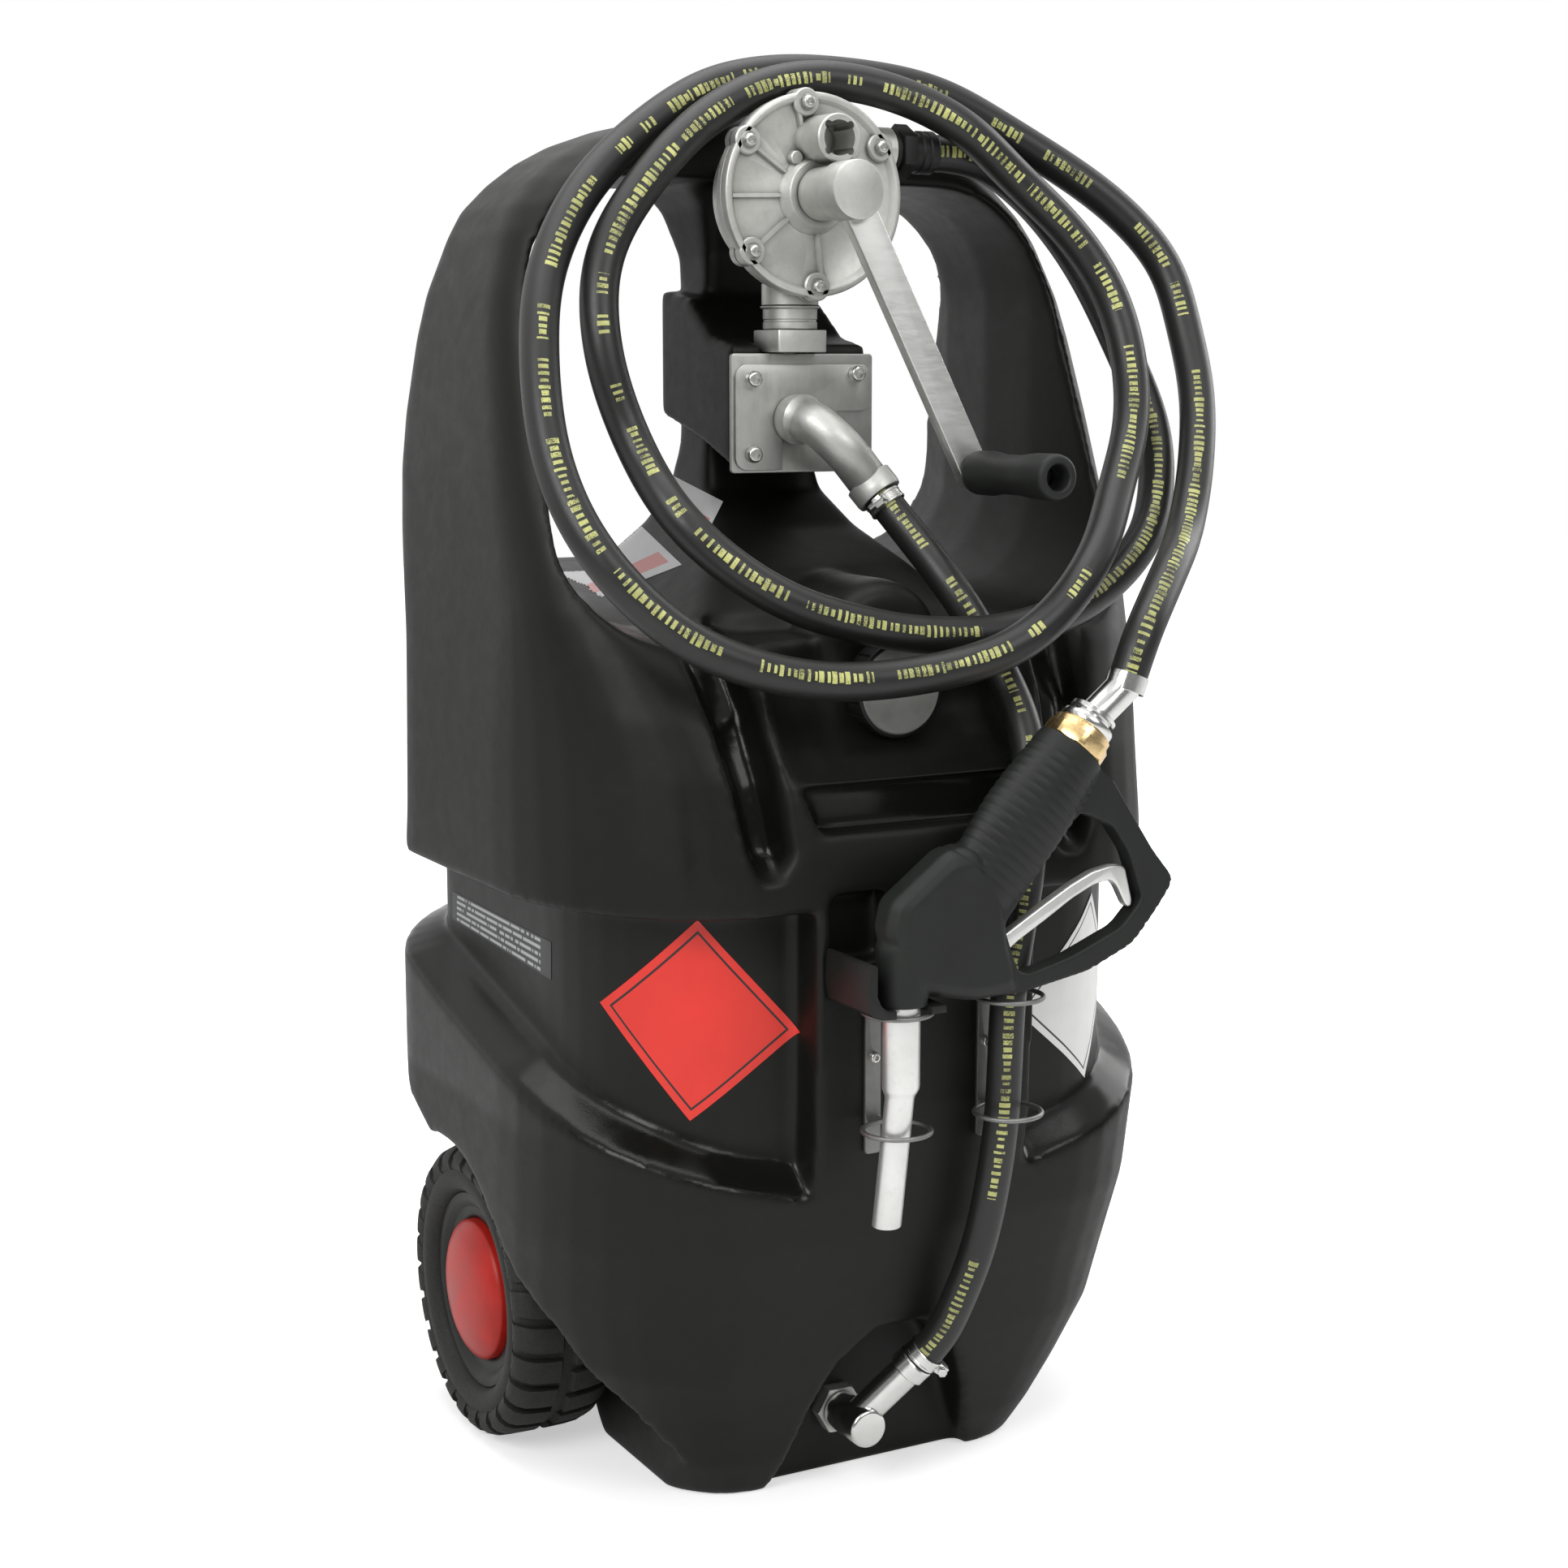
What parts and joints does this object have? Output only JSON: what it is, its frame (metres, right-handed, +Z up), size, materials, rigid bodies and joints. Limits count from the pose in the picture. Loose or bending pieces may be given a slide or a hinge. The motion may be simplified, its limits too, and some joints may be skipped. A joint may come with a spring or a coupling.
{
  "type": "wheeled fuel trolley with rotary hand pump",
  "caption": "Black moulded tank trolley on two wheels with a hand-crank rotary pump, coiled delivery hose and a dispensing nozzle parked in rings.",
  "frame": {"origin": "on the ground, under the middle of the trolley's bounding box without its two hoses", "axes": "+Z up, -Y to the front, where the pump, filler cap and nozzle are, +X to the right of someone facing the front; the wheel axle lies along X"},
  "size_m": [0.5932, 0.507, 1.0779],
  "materials": {
    "black_moulding": "moulded polyethylene, satin black",
    "black_plastic": "moulded black plastic",
    "brass": "machined",
    "bright_steel": "polished",
    "cast_metal": "fine cast, bead blasted",
    "grey_plastic": "filled plastic, grey",
    "red_plastic": "glossy red moulding",
    "rubber": "smooth black hose rubber",
    "sheet_steel": "rolled plate",
    "tyre_rubber": "solid tread rubber",
    "zinc_steel": "zinc plated"
  },
  "bodies": {
    "trolley": {"axle": "zinc_steel", "brass_collar": "brass", "clamp_plate": "sheet_steel", "cover_screw_1": "zinc_steel", "cover_screw_2": "zinc_steel", "cover_screw_3": "zinc_steel", "cover_screw_4": "zinc_steel", "cover_screw_5": "zinc_steel", "delivery_hose": "rubber", "filler_gasket": "rubber", "hose_holder": "bright_steel", "hose_holder_screw": "zinc_steel", "hose_swivel": "bright_steel", "inlet_collar": "cast_metal", "left_retainer": "zinc_steel", "lower_hose_clamp": "zinc_steel", "mount_plate": "sheet_steel", "nozzle_body": "black_plastic", "nozzle_cradle": "black_plastic", "nozzle_holder": "bright_steel", "nozzle_holder_screw": "zinc_steel", "nozzle_spout": "bright_steel", "outlet_elbow": "bright_steel", "outlet_fitting": "black_plastic", "outlet_nut": "cast_metal", "plate_bolt_1": "bright_steel", "plate_bolt_2": "bright_steel", "plate_bolt_3": "bright_steel", "pump_cover": "cast_metal", "pump_gasket": "rubber", "pump_housing": "cast_metal", "right_retainer": "zinc_steel", "square_flange": "cast_metal", "suction_elbow": "cast_metal", "suction_hose": "rubber", "suction_riser": "zinc_steel", "tank": "black_moulding", "trigger_pin": "zinc_steel", "upper_hose_clamp": "zinc_steel"},
    "left_wheel": {"left_bush": "grey_plastic", "left_hubcap": "red_plastic", "left_rim": "black_plastic", "left_tyre": "tyre_rubber"},
    "right_wheel": {"right_bush": "grey_plastic", "right_hubcap": "red_plastic", "right_rim": "black_plastic", "right_tyre": "tyre_rubber"},
    "crank": {"pump_shaft": "bright_steel", "pump_rotor": "zinc_steel", "pump_vane_1": "grey_plastic", "pump_vane_2": "grey_plastic", "pump_vane_3": "grey_plastic", "pump_vane_4": "grey_plastic", "crank_hub": "cast_metal", "crank_arm": "sheet_steel", "grip_spindle": "zinc_steel"},
    "grip": {"crank_grip": "black_plastic"},
    "trigger_lever": {"trigger": "bright_steel"},
    "cap": {"filler_cap": "black_plastic", "filler_cap_disc": "grey_plastic"}
  },
  "joints": [
    {"name": "left_wheel_spin", "type": "hinge", "parent": "trolley", "child": "left_wheel", "pos_m": [0, 0.1135, 0.117], "axis": [1, 0, 0], "continuous": true},
    {"name": "right_wheel_spin", "type": "hinge", "parent": "trolley", "child": "right_wheel", "pos_m": [0, 0.1135, 0.117], "axis": [1, 0, 0], "continuous": true},
    {"name": "crank_turn", "type": "hinge", "parent": "trolley", "child": "crank", "pos_m": [-0.017, -0.0435, 0.97], "axis": [0, -1, 0], "continuous": true},
    {"name": "grip_spin", "type": "hinge", "parent": "crank", "child": "grip", "pos_m": [0.09098, -0.1215, 0.76692], "axis": [0, -1, 0], "continuous": true},
    {"name": "trigger_pull", "type": "hinge", "parent": "trolley", "child": "trigger_lever", "pos_m": [0.0207, -0.233, 0.432], "axis": [0, -1, 0], "range_deg": [0, 10], "stiffness_Nm_per_rad": 4, "springref_deg": -11.46},
    {"name": "filler_cap_turn", "type": "hinge", "parent": "trolley", "child": "cap", "pos_m": [0, -0.1195, 0.613], "axis": [0, -1, 0], "range_deg": [0, 90]}
  ]
}
